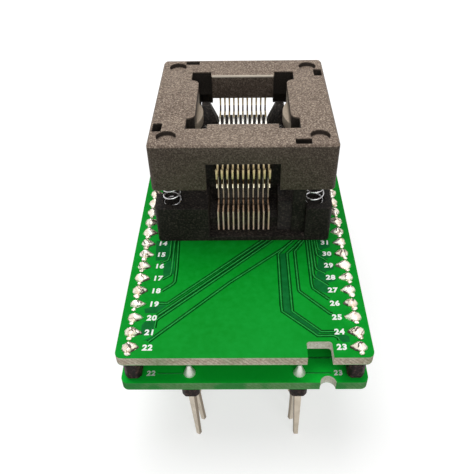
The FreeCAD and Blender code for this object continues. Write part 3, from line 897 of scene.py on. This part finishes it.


# Solder of the outer rows on the upper board. Hand-made joints: uneven pale lumps, pulled to a blunt point
# over each pin and towards its number, with a small bead in front. Their creases are painted dark as shade,
# and each lump is darker low on its inner side.
def ball(name, segments, rings):
    """A ball of radius 1, active and selected alone."""
    bpy.ops.object.select_all(action="DESELECT")
    bpy.ops.mesh.primitive_uv_sphere_add(segments=segments, ring_count=rings, radius=1.0, location=(0, 0, 0))
    made = bpy.context.object
    made.name = name
    return made
def lump_row(name, x, inward, seed):
    """A row of uneven lumps, each a dome shaped afresh from its own numbers."""
    chance = random.Random(seed)
    lumps = []
    for index in range(pins_per_row):
        lump = ball("lump_%d" % index, 20, 12)
        bpy.ops.object.mode_set(mode="EDIT")
        bpy.ops.mesh.select_all(action="SELECT")
        bpy.ops.mesh.bisect(plane_co=(0, 0, -0.05), plane_no=(0, 0, -1), clear_outer=True, use_fill=True)
        leave_edit()
        reach = (0.92 + 0.14 * chance.random()) * mm
        width = (0.72 + 0.14 * chance.random()) * mm
        height = (0.95 + 0.25 * chance.random()) * mm
        skew = (chance.random() - 0.5) * 0.5
        lean = (chance.random() - 0.5) * 0.3
        for vertex in lump.data.vertices:
            px, py, pz = vertex.co
            point = max(0.0, px * inward)
            narrow = 1.0 - 0.5 * point ** 1.3
            out = math.hypot(px, py)
            peak = max(0.0, 1.0 - out) ** 1.1
            rise = (0.42 * max(pz, 0.0) + 0.62 * peak) * height
            vertex.co = (x + px * reach * (1.0 + 0.3 * point) + lean * peak * 0.5 * mm,
                         row_start + index * pin_pitch + (py * narrow + skew * point * 0.5) * width,
                         board_top + rise - 0.02 * mm * (pz < 0))
        lumps.append(lump)
        bead = ball("bead_%d" % index, 12, 8)
        size = (0.26 + 0.12 * chance.random()) * mm
        away = (0.1 + 0.25 * chance.random()) * mm
        in_front = row_start + index * pin_pitch - (0.98 + 0.1 * chance.random()) * mm
        place = Matrix.Translation((x - inward * away, in_front, board_top + 0.25 * size))
        bead.data.transform(place @ Matrix.Diagonal((size * 1.2, size, size * 0.8, 1)))
        lumps.append(bead)
    row = join(name, lumps)
    texture = bpy.data.textures.new(name + "_lumps", "CLOUDS")
    texture.noise_scale = 0.6 * mm
    texture.noise_depth = 2
    rough = row.modifiers.new("uneven", "DISPLACE")
    rough.texture = texture
    rough.texture_coords = "LOCAL"
    rough.strength = 0.36 * mm
    rough.mid_level = 0.5
    finish_modifiers(row)
    for vertex in row.data.vertices:
        vertex.co.z = max(vertex.co.z, board_top - 0.01 * mm)
    bpy.ops.object.shade_smooth()
    return row


def lump_material():
    """Pale solder with brown patches, fine dark lines and a dark crease over each pin as painted crease
    shade, and darker low on the side towards each pin's number.
    """
    material, tree, shader = new_material("lump_solder", (0.86, 0.82, 0.76), 0.3, 0.8)
    place = object_place(tree)
    axes = axes_of(place)
    fine = add_noise(place, 2400.0, 4.0, 0.65)
    patch = add_noise(place, 900.0, 3.0, 0.6)
    crease = add_noise(place, 620.0, 2.0, 0.5)
    inward = add_math("SUBTRACT", header_row_x, add_math("ABSOLUTE", axes["X"]))
    along = add_math("MODULO", add_math("SUBTRACT", axes["Y"], row_start - pin_pitch / 2), pin_pitch)
    slant = add_math("ADD", add_math("SUBTRACT", along, pin_pitch / 2), product(inward, 0.7))
    slant = add_math("ADD", slant, add_range(patch, 0.3, 0.7, -0.35 * mm, 0.35 * mm))
    # Painted shade: a dark crease across each lump over its pin.
    mark = product(add_step(add_math("ABSOLUTE", slant), 0.14, 0.09),
                   add_step(add_math("ABSOLUTE", inward), 0.42, 0.36), add_range(crease, 0.40, 0.45))
    height = add_math("SUBTRACT", axes["Z"], board_top)
    # Darker low on the inner side of each lump, towards its number.
    dark_inner_foot = product(add_step(inward, 0.15, 0.4), add_step(height, 0.34, 0.22), add_range(crease, 0.40, 0.46))
    crease_shade_and_dark_foot = add_math("MAXIMUM", mark, dark_inner_foot)
    set_inputs(shader, {
        "Base Color": add_mix(add_range(patch, 0.42, 0.64), (0.98, 0.93, 0.84), (0.90, 0.74, 0.60)),
        "Metallic": add_range(crease_shade_and_dark_foot, 0.0, 1.0, 0.8, 0.0),
        "Roughness": add_range(fine, 0.3, 0.7, 0.2, 0.5),
        "Normal": add_bump(fine, 0.6, 0.15 * mm),
    })
    # Painted shade: fine dark lines where the lumps' creases lie.
    add_coats(shader, (add_range(apart(crease, 0.5), 0.022, 0.006, 0.0, 0.9), (0.05, 0.03, 0.02)),
              (product(crease_shade_and_dark_foot, 0.92), (0.035, 0.020, 0.012)))
    return material


lump_solder = lump_material()
for hand, side, seed in ((-1, "left", 5), (1, "right", 11)):
    row = lump_row("header_joints_lumps_" + side, hand * header_row_x, -hand, seed)
    dress(row, lump_solder)
    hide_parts("header_joints_" + side)
    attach(row, "frame")


# Solder of the contact tails under the upper board, a small cone to each tail. The tails come through the
# board in four rows of eleven.
socket_y = 7.9 * mm
contact_pitch = 0.8 * mm
tail_middle = 11.575 * mm
tails = []
model = solder_cone("tail_cone", 0.34 * mm, 0.25 * mm, 0.14 * mm, 0.85 * mm)
model.data.transform(Matrix.Rotation(math.pi, 4, "X"))
for turn in range(4):
    for index in range(-5, 6):
        place = Matrix.Rotation(turn * math.pi / 2, 4, "Z") @ Vector((index * contact_pitch, -tail_middle, 0))
        tails.append(copy_of(model, "tail_%d_%d" % (turn, index), (place.x, socket_y + place.y, upper_low.z)))
bpy.data.objects.remove(model)
tail_joints = join("tail_joints", tails)
dress(tail_joints, cone_solder)
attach(tail_joints, "frame")


# Socket base. One black glass-filled moulding with a fine sanded grain and slightly broken edges. It stands
# on the upper board and holds the contacts in its comb and the springs in pockets at its corners.
def break_edges(obj, width, segments):
    """Breaks a moulding's sharp edges and smooths its curved walls."""
    sharp = 35
    add_bevel(obj, width, segments, sharp)
    bpy.ops.object.shade_smooth_by_angle(angle=math.radians(sharp))


base_plastic = plastic_material(
    "base_black", (0.010, 0.0085, 0.0075), (0.021, 0.018, 0.016), (0.15, 0.125, 0.105),
    grain=3000.0, cloud=260.0, roughness=0.5, bump=0.9, fleck_share=0.6, specular=0.12)
base = merged_copy("socket_base", "socket_base_edged")
break_edges(base, 0.05 * mm, 1)
dress(base, base_plastic)
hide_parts("socket_base")
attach(base, "frame")


# Contacts. Stamped from thin copper alloy and plated. Each stands in its own gap of the comb, and has a wide
# head on a thin neck, a knee below it, and a paler tip that presses on the chip's lead.
contact = merged_copy("contacts_front", "contact_model")
start_edit(contact)
pick(contact, "verts", lambda v: abs(v.co.x) > 0.2 * mm)
bpy.ops.mesh.delete(type="VERT")
for level in (31.45, 31.9, 32.6, 33.1, 33.5):
    cut_level(level * mm)
# Two heights in mm, the share of the width kept between them, and how far the lever's outer face moves out.
lever_shape = ((30.9, 31.1, 0.54, 0.36), (31.4, 31.5, 0.6, 0.02), (31.85, 31.95, 0.55, -0.08),
               (32.5, 32.7, 0.85, 0.20), (33.0, 33.2, 0.92, 0.10), (33.4, 33.6, 0.95, 0.02),
               (34.1, 34.3, 1.1, -0.08))
lever_y, lever_face = -2.3 * mm, -3.05 * mm
for low, high, wide, outward in lever_shape:
    pick(contact, "verts", lambda v: low * mm < v.co.z < high * mm and v.co.y < lever_y)
    draw_in(wide)
    pick(contact, "verts", lambda v: low * mm < v.co.z < high * mm and v.co.y < lever_face)
    bpy.ops.transform.translate(value=(0, -outward * mm, 0))
pick(contact, "verts", lambda v: v.co.z > 33.3 * mm and v.co.y > lever_y)
draw_in(1.2)
pick(contact, "verts", lambda v: v.co.z < 30.4 * mm)
draw_in(0.76)
pick(contact, "verts", lambda v: 25.6 * mm < v.co.z < 25.9 * mm and v.co.y < -3.5 * mm)
bpy.ops.transform.translate(value=(0, 0, 0.75 * mm))
leave_edit()
break_edges(contact, 0.03 * mm, 1)


def plate_material():
    """Plate in zones: copper tails and bars, gold heads and pale tips, with painted shade low on the stems
    and on the necks, and a painted highlight on the knees.
    """
    material, tree, shader = new_material("contact_plate", (0.62, 0.50, 0.26), 0.3, 0.8)
    scuff = add_group(tree, scuff_group, {"Scale": 1100.0, "Stretch": (1.0, 1.0, 0.25)})
    axes = axes_of(object_place(tree))
    z = axes["Z"]
    reach = add_math("MAXIMUM", add_math("ABSOLUTE", axes["X"]), apart(axes["Y"], socket_y))
    bar = product(add_step(z, 25.3, 25.4), add_step(reach, 11.76, 11.7))
    stem = product(add_step(z, 25.9, 26.1), add_step(reach, 9.6, 9.4))
    # Painted shade: a dark band low on each stem, where the comb's shadow falls.
    crease = product(add_step(z, 26.45, 26.35), stem)
    # Painted highlight: the bend below the head is coloured pale.
    knee = add_step(z, 30.6, 31.0)
    head = add_step(z, 31.45, 31.6)
    # Painted shade: the lever's thin neck is coloured dark.
    neck = product(head, add_step(z, 32.72, 32.6), add_step(reach, 9.5, 10.2))
    tip = product(add_step(reach, 7.4, 7.0), add_step(z, 27.5, 29.0))
    set_inputs(shader, {
        "Base Color": add_mix(scuff["Patch"], (1.0, 0.79, 0.62), (1.0, 0.72, 0.50)),
        "Metallic": product(add_range(z, 26.5 * mm, 31.0 * mm, 0.0, 0.8),
                            add_range(z, 31.8 * mm, 32.6 * mm, 1.0, 0.2)),
        "Roughness": add_range(scuff["Streak"], 0.0, 1.0, 0.22, 0.42),
        "Normal": add_bump(scuff["Streak"], 0.15, 0.02 * mm),
    })
    add_coats(shader, (bar, (0.64, 0.42, 0.25)), (stem, (0.66, 0.52, 0.38)), (crease, (0.10, 0.05, 0.03)),
              (knee, (0.98, 0.90, 0.66)), (head, (0.96, 0.76, 0.40)), (neck, (0.13, 0.05, 0.025)),
              (tip, (0.95, 0.92, 0.84)))
    return material


gold = plate_material()
for turn, side in enumerate(("front", "right", "rear", "left")):
    around = (Matrix.Translation((0, socket_y, 0)) @ Matrix.Rotation(turn * math.pi / 2, 4, "Z")
              @ Matrix.Translation((0, -socket_y, 0)))
    blades = []
    for index in range(-5, 6):
        blade = copy_of(contact, "blade_%s_%d" % (side, index), (index * contact_pitch, 0, 0))
        blade.data.transform(around)
        blades.append(blade)
    row = join("contacts_shaped_" + side, blades)
    dress(row, gold)
    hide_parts("contacts_" + side)
    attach(row, "frame")
bpy.data.objects.remove(contact)


# Springs. Bright music wire, four and a quarter turns with the end turns lying flat. One stands in a pocket
# at each corner of the base and lifts the cover.
spring_place = 11.0 * mm
spring_foot, spring_head = 28.0 * mm, 33.0 * mm
coil_radius, wire_radius = 1.3 * mm, 0.13 * mm
spring_turns, flat_turn, coil_steps = 4.25, 0.4, 120
steel = metal_material("spring_wire", (0.82, 0.82, 0.84), (0.62, 0.60, 0.60), 0.22, 1500.0, (1.0, 1.0, 1.0))


def coil(name, x, y, start):
    """A wound spring: a line along the coil, given the wire's round section."""
    rise = spring_head - spring_foot - 2 * wire_radius
    points = []
    for step in range(coil_steps + 1):
        turn = spring_turns * step / coil_steps
        climb = min(max((turn - flat_turn) / (spring_turns - 2 * flat_turn), 0.0), 1.0)
        angle = start + 2 * math.pi * turn
        points.append((x + coil_radius * math.cos(angle), y + coil_radius * math.sin(angle),
                       spring_foot + wire_radius + rise * climb))
    made = rod(name, points, wire_radius, 2, Matrix())
    bpy.ops.object.shade_smooth_by_angle(angle=math.radians(60))
    return made


corners = (("front_right", 1, -1), ("rear_right", 1, 1), ("rear_left", -1, 1), ("front_left", -1, -1))
for turn, (corner, across, along) in enumerate(corners):
    x, y = across * spring_place, socket_y + along * spring_place
    spring = coil("coil_" + corner, x, y, turn * math.pi / 2 + math.pi)
    dress(spring, steel)
    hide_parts("spring_" + corner)
    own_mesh(spring)
    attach(spring, "frame")


# Socket cover. A brown-grey moulding with a spark-eroded grain, which shows as pale flecks on its top. Its
# upright walls, slots and recesses are painted dark as shade, and its cams' top edges and the deep faces
# inside its opening are painted pale as highlights.
# Its upright walls are painted darker, at 0.42 of the top's colour, as painted shade.
cover_plastic = plastic_material(
    "cover_taupe", (0.160, 0.114, 0.086), (0.212, 0.158, 0.120), (0.70, 0.59, 0.47),
    grain=4800.0, cloud=120.0, roughness=0.6, bump=1.2, fleck_share=0.92, walls=0.42)
cover = merged_copy("socket_cover", "socket_cover_edged")
cover_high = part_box("socket_cover")[1]
cam_edge = 7.6 * mm


def wear_cover(material):
    """Paints shade into the cover's slots and recesses, and paints highlights on its cams' top edges and on
    the deep faces inside its opening.
    """
    tree = material.node_tree
    axes = axes_of(object_place(tree))
    across = add_math("ABSOLUTE", axes["X"])
    along = apart(axes["Y"], socket_y)
    depth = add_math("SUBTRACT", cover_high.z, axes["Z"])
    # Painted highlight: a pale line along the top edges of the front and rear cams.
    wear_and_painted_highlight = product(add_step(apart(along, cam_edge), 0.28, 0.16), add_step(across, 5.15, 5.05),
                   add_step(depth, 0.4, 0.2))
    # Painted light: the deep faces inside the opening, the side cams among them, are coloured paler as if
    # lit.
    painted_cam_light = product(add_step(across, 8.4, 8.2), add_step(along, 5.4, 5.2), add_step(depth, 1.2, 1.6))
    off_corner = add_math("MAXIMUM", apart(across, spring_place), apart(along, spring_place))
    in_recess = add_step(off_corner, 1.67, 1.62)
    # Painted shade: the faces below the top in the cover's four corner zones, its slots among them but not
    # its recesses, are coloured near black.
    painted_slot_shade = product(add_step(add_math("MAXIMUM", across, along), 13.25, 13.2), add_step(depth, 0.16, 0.26),
                     add_math("SUBTRACT", 1.0, in_recess), add_step(across, 5.1, 5.2),
                     add_step(along, 5.3, 5.4))
    # Painted shade: each spring recess darkens towards its wall, with a dark line at the wall's foot.
    folded = add_node(tree, "CombineXYZ", {"X": across, "Y": along}).outputs[0]
    from_middle = add_node(tree, "VectorMath", {0: folded, 1: (spring_place, spring_place, 0)},
                           operation="DISTANCE").outputs["Value"]
    ring = add_math("ADD", add_range(from_middle, 1.0 * mm, 1.4 * mm, 0.0, 0.45),
                    add_range(from_middle, 1.42 * mm, 1.44 * mm, 0.0, 0.4))
    add_coats(tree.nodes["Principled BSDF"],
              (product(painted_slot_shade, 0.85), (0.006, 0.005, 0.004)), (product(painted_cam_light, 0.6), (0.52, 0.44, 0.34)),
              (product(ring, add_step(depth, 0.1, 0.2), in_recess), (0.020, 0.015, 0.012)),
              (product(wear_and_painted_highlight, 0.85), (0.74, 0.66, 0.55)))


wear_cover(cover_plastic)
start_edit(cover)
pick(cover, "edges", lambda e: all(abs(v.co.z - cover_high.z) < 0.01 * mm and abs(v.co.x) < 5.4 * mm
                                   and abs(abs(v.co.y - socket_y) - cam_edge) < 0.02 * mm for v in e.verts))
bpy.ops.mesh.bevel(offset=0.3 * mm, segments=3, affect="EDGES")
leave_edit()
break_edges(cover, 0.12 * mm, 2)


def ejector_mark(x, y):
    """The small raised ring that an ejector pin leaves on a recess's floor."""
    bpy.ops.object.select_all(action="DESELECT")
    bpy.ops.mesh.primitive_cylinder_add(vertices=16, radius=0.34 * mm, depth=0.06 * mm,
                                        location=(x, y, cover_high.z - 0.68 * mm))
    mark = bpy.context.object
    bpy.ops.object.transform_apply(location=True, rotation=True, scale=True)
    bpy.ops.object.mode_set(mode="EDIT")
    pick(mark, "faces", lambda f: f.normal.z > 0.9)
    bpy.ops.mesh.inset(thickness=0.12 * mm)
    bpy.ops.transform.translate(value=(0, 0, -0.08 * mm))
    leave_edit()
    return mark


marks = [ejector_mark(across * spring_place, socket_y + along * spring_place)
         for across in (-1, 1) for along in (-1, 1)]
cover = join("socket_cover_edged", [cover] + marks)
dress(cover, cover_plastic)
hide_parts("socket_cover")
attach(cover, "cover")
